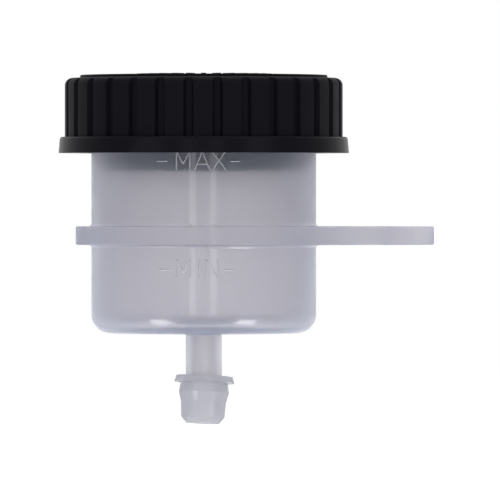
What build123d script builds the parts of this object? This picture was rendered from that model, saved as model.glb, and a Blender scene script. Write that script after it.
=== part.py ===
from build123d import *
from math import radians, tan
import os

# Brake fluid reservoir: a milky cup moulded in one piece with its collar, mounting lug and hose
# spigot, a ribbed screw cap over a slip ring and a rubber bellows, and a push-on dust cap.
# Origin: centre of the lug's bolt hole, on the lug's underside. +X runs from the cup to the lug,
# +Z is up, and the front faces -Y. Millimetres.

# Cup wall, floor and neck
cup_r = 25.0
cup_wall = 1.7
floor_thick = 2.0
cup_below = 19.65
cup_above = 32.0
foot_round = 4.3
lip_round = 0.4

# Flat collar round the cup and the lug that grows out of it
lug_reach = 42.2
lug_thick = 4.1
lug_end_r = 9.0
lug_hole = 6.5
collar_out = 3.5
collar_edge = 0.4
collar_root = 0.7

# Hose spigot under the floor
spigot_r = 4.0
spigot_bore = 5.0
spigot_length = 17.0
spigot_root = 0.5
barb_out = 0.3
barb_length = 4.2
barb_step = 0.4
spigot_tip_r = 3.5

# Screw cap, sized outwards from the neck
neck_gap = 2.2
cap_wall = 2.8
cap_skirt = 11.6
cap_round = 1.7
cap_lead = 0.6
roof_thick = 2.55
roof_inset = 3.4
roof_step = 0.65
roof_round = 0.25
rib_count = 30
groove_depth = 0.9
groove_mouth = 2.3
groove_floor = 1.3
rim_out = 1.1
rim_flare = 0.3
rim_thick = 3.6
rim_round = 0.6

# Slip ring between the cap and the bellows, notched to let air in above the rubber
ring_thick = 1.6
ring_width = 5.0
ring_gap = 0.8
ring_edge = 0.3
vent_count = 4
vent_width = 1.6
vent_depth = 0.6

# Rubber bellows, clamped on the neck by its flange
bellows_wall = 1.1
bellows_flange = 1.6
bellows_lap = 1.2
bellows_gap = 0.5
bellows_drop = 16.0
fold_width = 5.2
fold_rise = 11.2
fold_round = 1.9
crown_rise = 3.6

# Dust cap pushed on the spigot, sitting askew
dust_overlap = 7.4
dust_tilt_side = 2.6
dust_tilt_back = 4.8
dust_gap = 0.6
dust_wall = 0.65
dust_ring_out = 1.45
dust_ring_thick = 1.35
dust_ring_slant = 0.4
dust_bulge_out = 0.35
dust_bulge_at = 3.6
dust_tail_in = 0.2
dust_tail_at = 5.7
dust_end_in = 0.38
dust_length = 10.4
dust_end_bevel = 1.1
dust_end_rise = 1.4
dust_end_thick = 1.3
dust_dimple = 1.6
dust_dimple_deep = 0.6

# Heights and radii that follow from these
floor_under = -cup_below
floor_top = floor_under + floor_thick
spigot_end = floor_under - spigot_length
barb_top = spigot_end + barb_length
flange_top = cup_above + bellows_flange
roof_under = flange_top + ring_thick
roof_top = roof_under + roof_thick
shoulder = roof_top - roof_step
cap_mouth = cup_above - cap_skirt
rim_top = cap_mouth + rim_thick
cap_bore_r = cup_r + neck_gap
cap_r = cap_bore_r + cap_wall + groove_depth
rim_r = cap_r + rim_out
roof_r = cap_r - roof_inset
ring_r = cap_bore_r - ring_gap
cup_bore_r = cup_r - cup_wall

cup_axis = Axis((-lug_reach, 0, 0), (0, 0, 1))
section = Plane(origin=(-lug_reach, 0, 0), x_dir=(1, 0, 0), z_dir=(0, -1, 0))


def level(height):
    """The horizontal plane at a height, centred on the cup."""
    return Plane(origin=(-lug_reach, 0, height))


with BuildPart() as cup:
    # Collar and lug: the outline that wraps the collar's circle and the lug's end
    with BuildSketch():
        with Locations((-lug_reach, 0)):
            Circle(cup_r + collar_out)
        Circle(lug_end_r)
        make_hull()
    extrude(amount=lug_thick)
    fillet(edges().group_by(Axis.Z)[0] + edges().group_by(Axis.Z)[-1], collar_edge)

    # Wall and floor, solid at first
    with BuildSketch(section):
        with BuildLine():
            Polyline((0, floor_under), (cup_r, floor_under), (cup_r, cup_above),
                     (0, cup_above), close=True)
        make_face()
        fillet(vertices().group_by(Axis.Y)[0].sort_by(Axis.X)[-1], foot_round)
        fillet(vertices().group_by(Axis.Y)[-1].sort_by(Axis.X)[-1], lip_round)
    revolve(axis=cup_axis)
    meets = [e for e in edges().filter_by(GeomType.CIRCLE)
             if abs(e.radius - cup_r) < 0.01 and -0.01 < e.center().Z < lug_thick + 0.01]
    fillet(meets, collar_root)

    # Spigot with its single barb
    with BuildSketch(section):
        with BuildLine():
            Polyline((0, floor_top), (spigot_r, floor_top), (spigot_r, barb_top + barb_step),
                     (spigot_r + barb_out, barb_top), (spigot_tip_r, spigot_end),
                     (0, spigot_end), close=True)
        make_face()
    revolve(axis=cup_axis)
    spigot_meets = [e for e in edges().filter_by(GeomType.CIRCLE)
                    if abs(e.radius - spigot_r) < 0.01 and abs(e.center().Z - floor_under) < 0.01]
    fillet(spigot_meets, spigot_root)

    # Inside of the cup, the spigot's bore and the bolt hole
    with BuildSketch(section):
        with BuildLine():
            Polyline((0, floor_top), (cup_bore_r, floor_top), (cup_bore_r, cup_above),
                     (0, cup_above), close=True)
        make_face()
        fillet(vertices().group_by(Axis.Y)[0].sort_by(Axis.X)[-1], foot_round - cup_wall)
    revolve(axis=cup_axis, mode=Mode.SUBTRACT)
    with Locations(level(floor_top)):
        Hole(spigot_bore / 2, depth=floor_top - spigot_end)
    with Locations(Plane.XY.offset(lug_thick)):
        Hole(lug_hole / 2, depth=lug_thick)
cup.part.label = "cup"


with BuildPart() as screw_cap:
    with BuildSketch(section):
        with BuildLine():
            Polyline((0, roof_top), (roof_r, roof_top), (roof_r, shoulder), (cap_r, shoulder),
                     (cap_r, rim_top), (rim_r, rim_top), (rim_r + rim_flare, cap_mouth),
                     (cap_bore_r + cap_lead, cap_mouth), (cap_bore_r, cap_mouth + cap_lead),
                     (cap_bore_r, roof_under), (0, roof_under), close=True)
        make_face()
        fillet(vertices().sort_by_distance((cap_r, shoulder))[0], cap_round)
        fillet(vertices().sort_by_distance((rim_r, rim_top))[0], rim_round)
        fillet(vertices().sort_by_distance((roof_r, roof_top))[0], roof_round)
    revolve(axis=cup_axis)

    # Finger grooves, which leave the grip pads standing between them
    with BuildSketch(level(rim_top)):
        with PolarLocations(cap_r, rib_count):
            Polygon((-groove_depth, -groove_floor / 2), (groove_depth, groove_floor / 2 - groove_mouth),
                    (groove_depth, groove_mouth - groove_floor / 2), (-groove_depth, groove_floor / 2),
                    align=None)
    extrude(amount=roof_top - rim_top, mode=Mode.SUBTRACT)
screw_cap.part.label = "screw_cap"


with BuildPart() as thrust_ring:
    with BuildSketch(level(flange_top)):
        Circle(ring_r)
        Circle(ring_r - ring_width, mode=Mode.SUBTRACT)
    extrude(amount=ring_thick)
    chamfer(edges().group_by(Axis.Z)[0], ring_edge)
    with BuildSketch(level(roof_under)):
        with PolarLocations(ring_r - ring_width / 2, vent_count):
            Rectangle(2 * ring_width, vent_width)
    extrude(amount=-vent_depth, mode=Mode.SUBTRACT)
thrust_ring.part.label = "thrust_ring"


with BuildPart() as diaphragm:
    # One rubber wall: down inside the neck, round the deep fold, up and over, down to the crown
    skirt_r = cup_bore_r - bellows_gap - bellows_wall / 2
    fold_low = cup_above - bellows_drop + bellows_wall / 2
    with BuildSketch(section):
        with BuildLine():
            FilletPolyline((skirt_r, flange_top - bellows_wall / 2), (skirt_r, fold_low),
                           (skirt_r - fold_width, fold_low),
                           (skirt_r - fold_width, fold_low + fold_rise),
                           (skirt_r - 2 * fold_width, fold_low + fold_rise),
                           (skirt_r - 2 * fold_width, fold_low + crown_rise),
                           (0, fold_low + crown_rise), radius=fold_round)
        trace(line_width=bellows_wall)
        with BuildLine():
            Polyline((skirt_r - bellows_wall / 2, cup_above), (cup_r + bellows_lap, cup_above),
                     (cup_r + bellows_lap, flange_top), (skirt_r - bellows_wall / 2, flange_top),
                     close=True)
        make_face()
        # The trace's square end passes the axis, and only the half outside it is turned
        with Locations((-cup_r, 0)):
            Rectangle(2 * cup_r, 4 * cup_above, mode=Mode.SUBTRACT)
    revolve(axis=cup_axis)
diaphragm.part.label = "diaphragm"


# The dust cap's own axis leans to the right and to the back, about the middle of the overlap
dust_up = Vector(tan(radians(dust_tilt_side)), tan(radians(dust_tilt_back)), 1).normalized()
dust_side = Vector(0, 1, 0).cross(dust_up).normalized()
dust_pivot = Vector(-lug_reach, 0, spigot_end + dust_overlap / 2)
dust_top = dust_pivot + dust_up * (dust_overlap / 2)
dust_section = Plane(origin=dust_top, x_dir=dust_side, z_dir=dust_side.cross(dust_up))
dust_axis = Axis(dust_top, dust_up)

with BuildPart() as dust_cap:
    mouth_r = spigot_r + dust_gap
    wall_r = mouth_r + dust_wall
    ring_out_r = wall_r + dust_ring_out
    with BuildSketch(dust_section):
        with BuildLine():
            Polyline((mouth_r, 0), (ring_out_r - dust_ring_slant, 0), (ring_out_r, -dust_ring_thick),
                     (wall_r, -dust_ring_thick), (wall_r + dust_bulge_out, -dust_bulge_at),
                     (wall_r - dust_tail_in, -dust_tail_at),
                     (wall_r - dust_end_in, dust_end_rise - dust_length),
                     (wall_r - dust_end_in - dust_end_bevel, -dust_length), (0, -dust_length),
                     (0, dust_end_thick - dust_length),
                     (mouth_r - dust_end_in, dust_end_thick - dust_length),
                     (mouth_r - dust_tail_in, -dust_tail_at),
                     (mouth_r + dust_bulge_out, -dust_bulge_at), close=True)
        make_face()
    revolve(axis=dust_axis)
    # Gate dimple in the closed end
    with BuildSketch(Plane(origin=dust_top - dust_up * dust_length, x_dir=dust_side, z_dir=dust_up)):
        Circle(dust_dimple / 2)
    extrude(amount=dust_dimple_deep, mode=Mode.SUBTRACT)
dust_cap.part.label = "dust_cap"


os.makedirs("parts", exist_ok=True)
export_step(cup.part, "parts/cup.step")
export_step(screw_cap.part, "parts/screw_cap.step")
export_step(thrust_ring.part, "parts/thrust_ring.step")
export_step(diaphragm.part, "parts/diaphragm.step")
export_step(dust_cap.part, "parts/dust_cap.step")
print("dust cap axis", dust_up, "through", dust_pivot)
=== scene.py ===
import math
import bpy
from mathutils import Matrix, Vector


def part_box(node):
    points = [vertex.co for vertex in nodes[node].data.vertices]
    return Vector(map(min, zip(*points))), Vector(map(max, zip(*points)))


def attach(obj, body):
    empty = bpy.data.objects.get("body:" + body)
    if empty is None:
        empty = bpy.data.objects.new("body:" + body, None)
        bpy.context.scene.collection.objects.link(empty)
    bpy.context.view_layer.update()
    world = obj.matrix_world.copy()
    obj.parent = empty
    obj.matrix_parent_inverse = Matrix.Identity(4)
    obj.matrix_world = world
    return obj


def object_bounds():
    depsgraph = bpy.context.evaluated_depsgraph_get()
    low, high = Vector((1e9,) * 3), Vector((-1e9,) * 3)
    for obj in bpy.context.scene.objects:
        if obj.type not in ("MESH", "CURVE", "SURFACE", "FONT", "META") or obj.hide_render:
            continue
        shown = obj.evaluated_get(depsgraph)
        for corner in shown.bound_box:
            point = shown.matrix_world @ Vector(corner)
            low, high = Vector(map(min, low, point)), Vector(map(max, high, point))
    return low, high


# Brake fluid reservoir, seen level from the front on a white ground.
# Lengths are metres in the frame of the solids: origin at the lug's hole, front faces -Y.

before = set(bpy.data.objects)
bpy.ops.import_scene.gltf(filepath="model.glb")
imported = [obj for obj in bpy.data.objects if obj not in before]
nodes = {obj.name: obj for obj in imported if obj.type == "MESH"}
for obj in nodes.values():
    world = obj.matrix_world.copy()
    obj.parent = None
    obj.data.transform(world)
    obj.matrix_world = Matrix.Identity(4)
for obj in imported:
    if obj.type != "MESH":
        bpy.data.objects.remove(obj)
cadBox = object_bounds()
print("stage: frame loaded")

mm = 0.001
capLow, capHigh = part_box("screw_cap")
axisX = (capLow.x + capHigh.x) / 2  # the cup's axis, about which the cap turns


# Helpers for node trees

def feed(tree, node, values):
    # A value that is another node's output is linked to its socket, and any other is set on it
    for name, value in values.items():
        if isinstance(value, bpy.types.NodeSocket):
            tree.links.new(value, node.inputs[name])
        else:
            node.inputs[name].default_value = value


def addNode(tree, kind, values=None, **settings):
    node = tree.nodes.new(kind)
    for key, value in settings.items():
        setattr(node, key, value)
    feed(tree, node, values or {})
    return node


def maths(tree, operation, *values):
    return addNode(tree, "ShaderNodeMath", dict(enumerate(values)), operation=operation).outputs[0]


def newMaterial(name):
    material = bpy.data.materials.new(name)
    material.use_nodes = True
    material.node_tree.nodes.clear()
    return material, material.node_tree


# Materials, each with a fine grain in its surface and a haze that varies a little over the piece

milkyLook = {
    "shader": {"Base Color": (0.709, 0.686, 0.696, 1), "Transmission Weight": 0.94, "IOR": 1.3,
               "Specular IOR Level": 0.05, "Coat Weight": 0.45, "Coat Roughness": 0.03, "Coat IOR": 1.5,
               "Sheen Weight": 0.12, "Sheen Roughness": 0.9, "Sheen Tint": (0.24, 0.44, 1.0, 1)},
    "absorb": {"Color": (0.5, 0.5, 0.54, 1), "Density": 17.0},
    "glossyBeyond": 24.0 * mm, "glossyUnder": -17.7 * mm,  # the inside of the cup isn't polished
    "dullBeyond": 26.5 * mm, "dullShare": 0.4, "dullHaze": 1.3,  # and the collar and lug are duller
    "haze": (0.51, 0.59), "hazeScale": 60.0,
    "grain": 900.0, "grainDepth": 0.00002, "grainStrength": 0.06,
    "smoothBelow": (-0.3 * mm, 0.0), "smoothShare": 0.65,  # the cup is smoother below its collar
}
markLook = {
    "shader": {"Base Color": (0.48, 0.485, 0.54, 1), "Transmission Weight": 0.3, "IOR": 1.25,
               "Coat Weight": 0.45, "Coat Roughness": 0.03, "Coat IOR": 1.5},
    "haze": (0.34, 0.42), "hazeScale": 60.0,
    "grain": 900.0, "grainDepth": 0.00002, "grainStrength": 0.12,
}
faintMarkLook = {**markLook, "shader": {**markLook["shader"], "Base Color": (0.55, 0.555, 0.616, 1)}}
dustLook = {
    "shader": {"Base Color": (0.62, 0.62, 0.675, 1), "Transmission Weight": 0.62, "IOR": 1.25,
               "Coat Weight": 0.2, "Coat Roughness": 0.12, "Coat IOR": 1.5},
    "absorb": {"Color": (0.5, 0.5, 0.54, 1), "Density": 6.0},
    "haze": (0.5, 0.6), "hazeScale": 120.0,
    "grain": 1500.0, "grainDepth": 0.00002, "grainStrength": 0.2,
}
blackLook = {
    "shader": {"Base Color": (0.0029, 0.0027, 0.0050, 1), "Specular IOR Level": 0.05},
    "haze": (0.5, 0.6), "hazeScale": 250.0,
    "grain": 4000.0, "grainDepth": 0.00003, "grainStrength": 0.35,
    "smoothBelow": (23.7 * mm, 24.1 * mm), "smoothShare": 0.5,  # the rim is smoother than the grip
}
rubberLook = {
    "shader": {"Base Color": (0.006, 0.008, 0.016, 1), "Specular IOR Level": 0.2},
    "haze": (0.55, 0.68), "hazeScale": 150.0,
    "grain": 2500.0, "grainDepth": 0.00003, "grainStrength": 0.3,
}
ringLook = {
    "shader": {"Base Color": (0.72, 0.71, 0.68, 1), "Specular IOR Level": 0.5},
    "haze": (0.35, 0.45), "hazeScale": 150.0,
    "grain": 1500.0, "grainDepth": 0.00002, "grainStrength": 0.2,
}
noiseDetail = {"grain": 4.0, "haze": 2.0}


def surfaceNoise(tree, place, scale, detail):
    noise = addNode(tree, "ShaderNodeTexNoise", {"Vector": place, "Scale": scale, "Detail": detail})
    return noise.outputs["Fac"]


def unevenHaze(tree, place, look):
    noise = surfaceNoise(tree, place, look["hazeScale"], noiseDetail["haze"])
    low, high = look["haze"]
    haze = addNode(tree, "ShaderNodeMapRange", {"Value": noise, "To Min": low, "To Max": high})
    return haze.outputs["Result"]


def smootherBelow(tree, place, haze, look):
    height = addNode(tree, "ShaderNodeSeparateXYZ", {"Vector": place}).outputs["Z"]
    low, high = look["smoothBelow"]
    share = addNode(tree, "ShaderNodeMapRange",
                    {"Value": height, "From Min": low, "From Max": high,
                     "To Min": look["smoothShare"], "To Max": 1.0})
    return maths(tree, "MULTIPLY", haze, share.outputs["Result"])


def polishOutside(tree, place, haze, look):
    # Gives the weight of the coat and the haze: inside there is no coat, past the wall it is duller
    split = addNode(tree, "ShaderNodeSeparateXYZ", {"Vector": place})
    across = maths(tree, "SUBTRACT", split.outputs["X"], axisX)
    squares = maths(tree, "ADD", maths(tree, "MULTIPLY", across, across),
                    maths(tree, "MULTIPLY", split.outputs["Y"], split.outputs["Y"]))
    beyond = maths(tree, "GREATER_THAN", squares, look["glossyBeyond"] ** 2)
    under = maths(tree, "LESS_THAN", split.outputs["Z"], look["glossyUnder"])
    outside = maths(tree, "MAXIMUM", beyond, under)
    gloss = maths(tree, "MULTIPLY", outside, look["shader"]["Coat Weight"])
    collar = maths(tree, "GREATER_THAN", squares, look["dullBeyond"] ** 2)
    lost = maths(tree, "MULTIPLY", collar, 1.0 - look["dullShare"])
    kept = maths(tree, "MULTIPLY", gloss, maths(tree, "SUBTRACT", 1.0, lost))
    rougher = maths(tree, "ADD", maths(tree, "MULTIPLY", collar, look["dullHaze"] - 1.0), 1.0)
    return kept, maths(tree, "MULTIPLY", haze, rougher)


def mouldedPlastic(name, look):
    material, tree = newMaterial(name)
    place = addNode(tree, "ShaderNodeTexCoord").outputs["Object"]
    grain = surfaceNoise(tree, place, look["grain"], noiseDetail["grain"])
    bump = addNode(tree, "ShaderNodeBump", {"Height": grain, "Distance": look["grainDepth"],
                                            "Strength": look["grainStrength"]})
    shader = addNode(tree, "ShaderNodeBsdfPrincipled", look["shader"])
    haze = unevenHaze(tree, place, look)
    if "smoothBelow" in look:
        haze = smootherBelow(tree, place, haze, look)
    if "glossyBeyond" in look:
        coat, haze = polishOutside(tree, place, haze, look)
        feed(tree, shader, {"Coat Weight": coat})
    feed(tree, shader, {"Roughness": haze, "Normal": bump.outputs["Normal"]})
    output = addNode(tree, "ShaderNodeOutputMaterial", {"Surface": shader.outputs["BSDF"]})
    if "absorb" in look:
        depth = addNode(tree, "ShaderNodeVolumeAbsorption", look["absorb"])
        feed(tree, output, {"Volume": depth.outputs["Volume"]})
    return material


milkyPlastic = mouldedPlastic("milkyPlastic", milkyLook)
markPlastic = mouldedPlastic("markPlastic", markLook)
faintMarkPlastic = mouldedPlastic("faintMarkPlastic", faintMarkLook)
softMilkyPlastic = mouldedPlastic("softMilkyPlastic", dustLook)
blackPlastic = mouldedPlastic("blackPlastic", blackLook)
blackRubber = mouldedPlastic("blackRubber", rubberLook)
ringPlastic = mouldedPlastic("ringPlastic", ringLook)

finishes = {"cup": milkyPlastic, "dust_cap": softMilkyPlastic, "screw_cap": blackPlastic,
            "diaphragm": blackRubber, "thrust_ring": ringPlastic}
for nodeName, material in finishes.items():
    mesh = nodes[nodeName].data
    mesh.materials.clear()
    mesh.materials.append(material)
print("stage: materials")


# Trees of geometry nodes, and what they are run on

def newTree(name, lengths, counts=(), vectors=()):
    tree = bpy.data.node_groups.new(name, "GeometryNodeTree")
    sockets = {"NodeSocketGeometry": ["Geometry"], "NodeSocketFloat": lengths,
               "NodeSocketInt": counts, "NodeSocketVector": vectors}
    for kind, labels in sockets.items():
        for label in labels:
            tree.interface.new_socket(name=label, in_out="INPUT", socket_type=kind)
    tree.interface.new_socket(name="Geometry", in_out="OUTPUT", socket_type="NodeSocketGeometry")
    return tree, addNode(tree, "NodeGroupInput").outputs


def endTree(tree, geometry, material):
    whole = addNode(tree, "GeometryNodeRealizeInstances", {"Geometry": geometry})
    finish = addNode(tree, "GeometryNodeSetMaterial",
                     {"Geometry": whole.outputs["Geometry"], "Material": material})
    addNode(tree, "NodeGroupOutput", {"Geometry": finish.outputs["Geometry"]})
    return tree


def taperSection(tree, foot, crest, height, turn=0.0):
    section = addNode(tree, "GeometryNodeCurvePrimitiveQuadrilateral",
                      {"Offset": 0.0, "Bottom Width": foot, "Top Width": crest, "Height": height},
                      mode="TRAPEZOID")
    turned = addNode(tree, "GeometryNodeTransform",
                     {"Geometry": section.outputs["Curve"], "Rotation": (0, 0, turn)})
    return turned.outputs["Geometry"]


def grow(name, base, tree, values, body):
    # Runs a tree on a base shape and keeps the plain mesh it gives
    carrier = bpy.data.objects.new(name + "_base", base)
    bpy.context.scene.collection.objects.link(carrier)
    modifier = carrier.modifiers.new("grow", "NODES")
    modifier.node_group = tree
    for socket in tree.interface.items_tree:
        if socket.item_type == "SOCKET" and socket.in_out == "INPUT" and socket.name in values:
            modifier[socket.identifier] = values[socket.name]
    view = bpy.context.evaluated_depsgraph_get()
    mesh = bpy.data.meshes.new_from_object(carrier.evaluated_get(view))
    carrier.modifiers.remove(modifier)
    bpy.data.objects.remove(carrier)
    mesh.name = name
    piece = bpy.data.objects.new(name, mesh)
    bpy.context.scene.collection.objects.link(piece)
    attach(piece, body)


# MAX and MIN, moulded proud of the wall: strokes drawn flat in mm, then wrapped round the cup

markPlan = {
    "wallRadius": 25.0 * mm, "strokeWidth": 0.35 * mm, "crestWidth": 0.16 * mm,
    "sunk": 0.06 * mm, "step": 0.25 * mm, "maxHeight": 0.22 * mm, "minHeight": 0.09 * mm,
    "max": [[(-5.9, 16.6), (-5.9, 20.7), (-4.42, 18.0), (-2.95, 20.7), (-2.95, 16.6)],
            [(-1.9, 16.6), (-0.22, 20.7), (1.45, 16.6)], [(-1.3, 17.9), (0.85, 17.9)],
            [(2.0, 16.6), (4.85, 20.7)], [(2.0, 20.7), (5.0, 16.6)],
            [(-10.4, 18.55), (-7.95, 18.55)], [(5.95, 18.5), (8.15, 18.5)]],
    "min": [[(-5.8, -7.1), (-5.8, -3.1), (-4.35, -6.0), (-2.87, -3.1), (-2.87, -7.1)],
            [(-0.92, -7.1), (-0.92, -3.1)],
            [(0.65, -7.1), (0.65, -3.1), (3.15, -7.1), (3.15, -3.1)],
            [(-9.8, -5.4), (-7.5, -5.4)], [(4.7, -5.4), (6.95, -5.4)]],
}


def strokeCurve(name, strokes):
    curve = bpy.data.curves.new(name, "CURVE")
    curve.dimensions = "3D"
    for stroke in strokes:
        line = curve.splines.new("POLY")
        line.points.add(len(stroke) - 1)
        for point, (across, height) in zip(line.points, stroke):
            point.co = (across * mm, height * mm, 0, 1)
    return curve


def markTree(material):
    tree, given = newTree("levelMarks", ["Wall Radius", "Stroke Width", "Crest Width", "Stroke Height",
                                         "Sunk", "Step", "Axis X"])
    fine = addNode(tree, "GeometryNodeResampleCurve",
                   {"Curve": given["Geometry"], "Length": given["Step"]}, mode="LENGTH")
    upright = addNode(tree, "GeometryNodeSetCurveNormal", {"Curve": fine.outputs["Curve"]}, mode="Z_UP")
    section = taperSection(tree, given["Stroke Width"], given["Crest Width"], given["Stroke Height"])
    solid = addNode(tree, "GeometryNodeCurveToMesh",
                    {"Curve": upright.outputs["Curve"], "Profile Curve": section, "Fill Caps": True})
    place = addNode(tree, "GeometryNodeInputPosition")
    flat = addNode(tree, "ShaderNodeSeparateXYZ", {"Vector": place.outputs["Position"]}).outputs
    angle = maths(tree, "DIVIDE", flat["X"], given["Wall Radius"])
    half = maths(tree, "MULTIPLY", given["Stroke Height"], 0.5)
    lift = maths(tree, "SUBTRACT", maths(tree, "ADD", flat["Z"], half), given["Sunk"])
    radius = maths(tree, "ADD", lift, given["Wall Radius"])
    aside = maths(tree, "MULTIPLY", radius, maths(tree, "SINE", angle))
    ahead = maths(tree, "MULTIPLY", radius, maths(tree, "COSINE", angle))
    wrapped = addNode(tree, "ShaderNodeCombineXYZ",
                      {"X": maths(tree, "ADD", aside, given["Axis X"]),
                       "Y": maths(tree, "MULTIPLY", ahead, -1.0), "Z": flat["Y"]})
    move = addNode(tree, "GeometryNodeSetPosition",
                   {"Geometry": solid.outputs["Mesh"], "Position": wrapped.outputs["Vector"]})
    return endTree(tree, move.outputs["Geometry"], material)


for word, plastic in (("max", markPlastic), ("min", faintMarkPlastic)):
    grow("mark_" + word, strokeCurve(word + "Strokes", markPlan[word]), markTree(plastic),
         {"Wall Radius": markPlan["wallRadius"], "Stroke Width": markPlan["strokeWidth"],
          "Crest Width": markPlan["crestWidth"], "Stroke Height": markPlan[word + "Height"],
          "Sunk": markPlan["sunk"], "Step": markPlan["step"], "Axis X": axisX},
         "cup")
print("stage: level marks")


# Thread of the neck, which thins out over a share of its length at each end

threadPlan = {"neckRadius": 25.0 * mm, "low": 24.6 * mm, "pitch": 3.0 * mm, "turns": 2.0, "perTurn": 96,
              "reach": 1.15 * mm, "foot": 1.7 * mm, "crest": 0.6 * mm, "sunk": 0.15 * mm,
              "runOut": 0.06, "tipShare": 0.12}


def threadTree(material):
    tree, given = newTree("thread", ["Radius", "Low", "Pitch", "Turns", "Reach", "Foot", "Crest",
                                     "Run Out", "Tip Share", "Axis X"], counts=["Per Turn"])
    rise = maths(tree, "MULTIPLY", given["Pitch"], given["Turns"])
    spiral = addNode(tree, "GeometryNodeCurveSpiral",
                     {"Resolution": given["Per Turn"], "Rotations": given["Turns"], "Height": rise,
                      "Start Radius": given["Radius"], "End Radius": given["Radius"]})
    upright = addNode(tree, "GeometryNodeSetCurveNormal", {"Curve": spiral.outputs["Curve"]}, mode="Z_UP")
    section = taperSection(tree, given["Foot"], given["Crest"], given["Reach"], -math.pi / 2)
    along = addNode(tree, "GeometryNodeSplineParameter").outputs["Factor"]
    fromEnd = maths(tree, "MINIMUM", along, maths(tree, "SUBTRACT", 1.0, along))
    thin = addNode(tree, "ShaderNodeMapRange",
                   {"Value": fromEnd, "From Min": 0.0, "From Max": given["Run Out"],
                    "To Min": given["Tip Share"], "To Max": 1.0}, interpolation_type="SMOOTHSTEP")
    solid = addNode(tree, "GeometryNodeCurveToMesh",
                    {"Curve": upright.outputs["Curve"], "Profile Curve": section,
                     "Scale": thin.outputs["Result"], "Fill Caps": True})
    place = addNode(tree, "ShaderNodeCombineXYZ", {"X": given["Axis X"], "Z": given["Low"]})
    move = addNode(tree, "GeometryNodeTransform",
                   {"Geometry": solid.outputs["Mesh"], "Translation": place.outputs["Vector"]})
    return endTree(tree, move.outputs["Geometry"], material)


threadMiddle = threadPlan["neckRadius"] + (threadPlan["reach"] / 2 - threadPlan["sunk"])
grow("neck_thread", bpy.data.meshes.new("seed"), threadTree(milkyPlastic),
     {"Radius": threadMiddle, "Low": threadPlan["low"], "Pitch": threadPlan["pitch"],
      "Turns": threadPlan["turns"], "Per Turn": threadPlan["perTurn"], "Reach": threadPlan["reach"],
      "Foot": threadPlan["foot"], "Crest": threadPlan["crest"], "Run Out": threadPlan["runOut"],
      "Tip Share": threadPlan["tipShare"], "Axis X": axisX},
     "cup")
print("stage: neck thread")


# A ring of plain raised bars on the cap's roof

barPlan = {"count": 28, "radius": 13.0 * mm, "long": 4.2 * mm, "wide": 1.1 * mm, "height": 0.8 * mm,
           "proud": 0.32 * mm}


def barTree(material):
    tree, given = newTree("roofBars", ["Ring Radius"], counts=["Count"], vectors=["Bar Size", "Place"])
    ring = addNode(tree, "GeometryNodeCurvePrimitiveCircle",
                   {"Radius": given["Ring Radius"], "Resolution": given["Count"]})
    spots = addNode(tree, "GeometryNodeCurveToPoints",
                    {"Curve": ring.outputs["Curve"], "Count": given["Count"]}, mode="COUNT")
    bar = addNode(tree, "GeometryNodeMeshCube", {"Size": given["Bar Size"]})
    row = addNode(tree, "GeometryNodeInstanceOnPoints",
                  {"Points": spots.outputs["Points"], "Instance": bar.outputs["Mesh"],
                   "Rotation": spots.outputs["Rotation"]})
    move = addNode(tree, "GeometryNodeTransform",
                   {"Geometry": row.outputs["Instances"], "Translation": given["Place"]})
    return endTree(tree, move.outputs["Geometry"], material)


barMiddle = capHigh.z + barPlan["proud"] - barPlan["height"] / 2
grow("roof_bars", bpy.data.meshes.new("seed"), barTree(blackPlastic),
     {"Count": barPlan["count"], "Ring Radius": barPlan["radius"],
      "Bar Size": (barPlan["long"], barPlan["height"], barPlan["wide"]), "Place": (axisX, 0.0, barMiddle)},
     "cap")
print("stage: roof bars")


# Floor, world, camera and lights. A lamp's angles are degrees from the front and from level.

floorPlan = {"drop": 0.020, "side": 3.0, "whiteShare": 0.7, "glow": 1.3, "colour": (0.9, 0.9, 0.9, 1)}
worldPlan = {"front": 0.16, "back": 1.0, "frontEnds": -0.25, "backStarts": 0.7}
cameraPlan = {"right": 10.27 * mm, "height": -1.16 * mm, "distance": 2.0, "lens": 647.5, "elevation": 0.35,
              "farEnd": 20.0}
stripPlan = {"azimuth": 10.5, "swing": -0.5, "distance": 1.0, "width": 0.12, "height": 1.4,
             "radiance": 3.2}
boxPlan = {"azimuth": 44.0, "elevation": 25.0, "distance": 1.0, "width": 0.4, "height": 0.66,
           "radiance": 2.2}
topPlan = {"azimuth": 0.0, "elevation": 89.0, "distance": 0.9, "width": 0.8, "height": 0.8,
           "radiance": 1.8}
glowPlan = {"azimuth": 48.0, "elevation": -36.0, "distance": 0.045, "width": 0.018, "height": 0.022,
            "radiance": 12.0, "aim": (9.5 * mm, -20.0 * mm, -17.0 * mm)}


def seenRays(tree):
    rays = addNode(tree, "ShaderNodeLightPath").outputs
    direct = maths(tree, "MAXIMUM", rays["Is Camera Ray"], rays["Is Glossy Ray"])
    return maths(tree, "MAXIMUM", direct, rays["Is Transmission Ray"])


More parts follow.
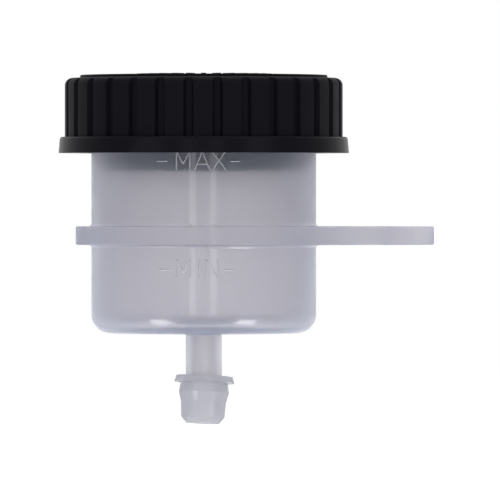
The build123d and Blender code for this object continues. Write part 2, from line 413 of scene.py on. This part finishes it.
def makeFloor():
    lowest = cadBox[0][2] - floorPlan["drop"]
    half = floorPlan["side"] / 2
    mesh = bpy.data.meshes.new("floor")
    corners = [(axisX - half, -half, lowest), (axisX + half, -half, lowest),
               (axisX + half, half, lowest), (axisX - half, half, lowest)]
    mesh.from_pydata(corners, [], [(0, 1, 2, 3)])
    floor = bpy.data.objects.new("floor", mesh)
    bpy.context.scene.collection.objects.link(floor)
    material, tree = newMaterial("paleFloor")
    lit = addNode(tree, "ShaderNodeBsdfDiffuse", {"Color": floorPlan["colour"]})
    white = addNode(tree, "ShaderNodeEmission", {"Strength": floorPlan["glow"]})
    share = maths(tree, "MULTIPLY", seenRays(tree), floorPlan["whiteShare"])
    blend = addNode(tree, "ShaderNodeMixShader",
                    {"Fac": share, 1: lit.outputs["BSDF"], 2: white.outputs["Emission"]})
    below = addNode(tree, "ShaderNodeNewGeometry")
    clear = addNode(tree, "ShaderNodeBsdfTransparent")
    whole = addNode(tree, "ShaderNodeMixShader",  # from below the floor is clear
                    {"Fac": below.outputs["Backfacing"], 1: blend.outputs["Shader"],
                     2: clear.outputs["BSDF"]})
    addNode(tree, "ShaderNodeOutputMaterial", {"Surface": whole.outputs["Shader"]})
    mesh.materials.append(material)


def makeWorld():
    world = bpy.data.worlds.new("studio")
    world.use_nodes = True
    bpy.context.scene.world = world
    tree = world.node_tree
    tree.nodes.clear()
    way = addNode(tree, "ShaderNodeTexCoord")
    split = addNode(tree, "ShaderNodeSeparateXYZ", {"Vector": way.outputs["Generated"]})
    depth = addNode(tree, "ShaderNodeMapRange",  # dim at the front, bright at the back
                    {"Value": split.outputs["Y"], "From Min": worldPlan["frontEnds"],
                     "From Max": worldPlan["backStarts"], "To Min": worldPlan["front"],
                     "To Max": worldPlan["back"]}, interpolation_type="SMOOTHSTEP")
    pick = addNode(tree, "ShaderNodeMix",  # plain white where it is seen, in a shine or through the plastic
                   {"Factor": seenRays(tree), "A": depth.outputs["Result"], "B": 1.0}, data_type="FLOAT")
    back = addNode(tree, "ShaderNodeBackground",
                   {"Color": (1, 1, 1, 1), "Strength": pick.outputs["Result"]})
    addNode(tree, "ShaderNodeOutputWorld", {"Surface": back.outputs["Background"]})


def makeLamp(name, plan, side):
    lampData = bpy.data.lights.new(name, "AREA")
    lampData.shape = "RECTANGLE"
    lampData.size = plan["width"]
    lampData.size_y = plan["height"]
    lampData.energy = plan["radiance"] * math.pi * plan["width"] * plan["height"]
    lamp = bpy.data.objects.new(name, lampData)
    bpy.context.scene.collection.objects.link(lamp)
    turn = math.radians(plan["azimuth"] * side + plan.get("swing", 0.0))
    lift = math.radians(plan.get("elevation", 0.0))
    away = Vector((math.sin(turn) * math.cos(lift), -math.cos(turn) * math.cos(lift), math.sin(lift)))
    across, depth, height = plan.get("aim", (0, 0, 0))
    target = Vector((axisX + across * side, depth, height))
    lamp.location = target + away * plan["distance"]
    lamp.rotation_euler = (-away).to_track_quat("-Z", "Y").to_euler()
    lamp.visible_camera = False
    return lamp


def makeCamera():
    cameraData = bpy.data.cameras.new("camera")
    cameraData.lens = cameraPlan["lens"]
    cameraData.clip_end = cameraPlan["farEnd"]
    camera = bpy.data.objects.new("camera", cameraData)
    bpy.context.scene.collection.objects.link(camera)
    lift = math.radians(cameraPlan["elevation"])
    target = Vector((axisX + cameraPlan["right"], 0, cameraPlan["height"]))
    away = Vector((0, -math.cos(lift), math.sin(lift)))
    camera.location = target + away * cameraPlan["distance"]
    camera.rotation_euler = (-away).to_track_quat("-Z", "Y").to_euler()
    bpy.context.scene.camera = camera


makeFloor()
makeWorld()
makeCamera()
for side in (-1, 1):
    makeLamp("strip", stripPlan, side)
    makeLamp("softbox", boxPlan, side)
    lowGlow = makeLamp("lowGlow", glowPlan, side)
    lowGlow.visible_transmission = False  # it makes highlights and isn't seen through the plastic
makeLamp("topLight", topPlan, 1)
bpy.context.scene.view_settings.view_transform = "Standard"
print("stage: studio")
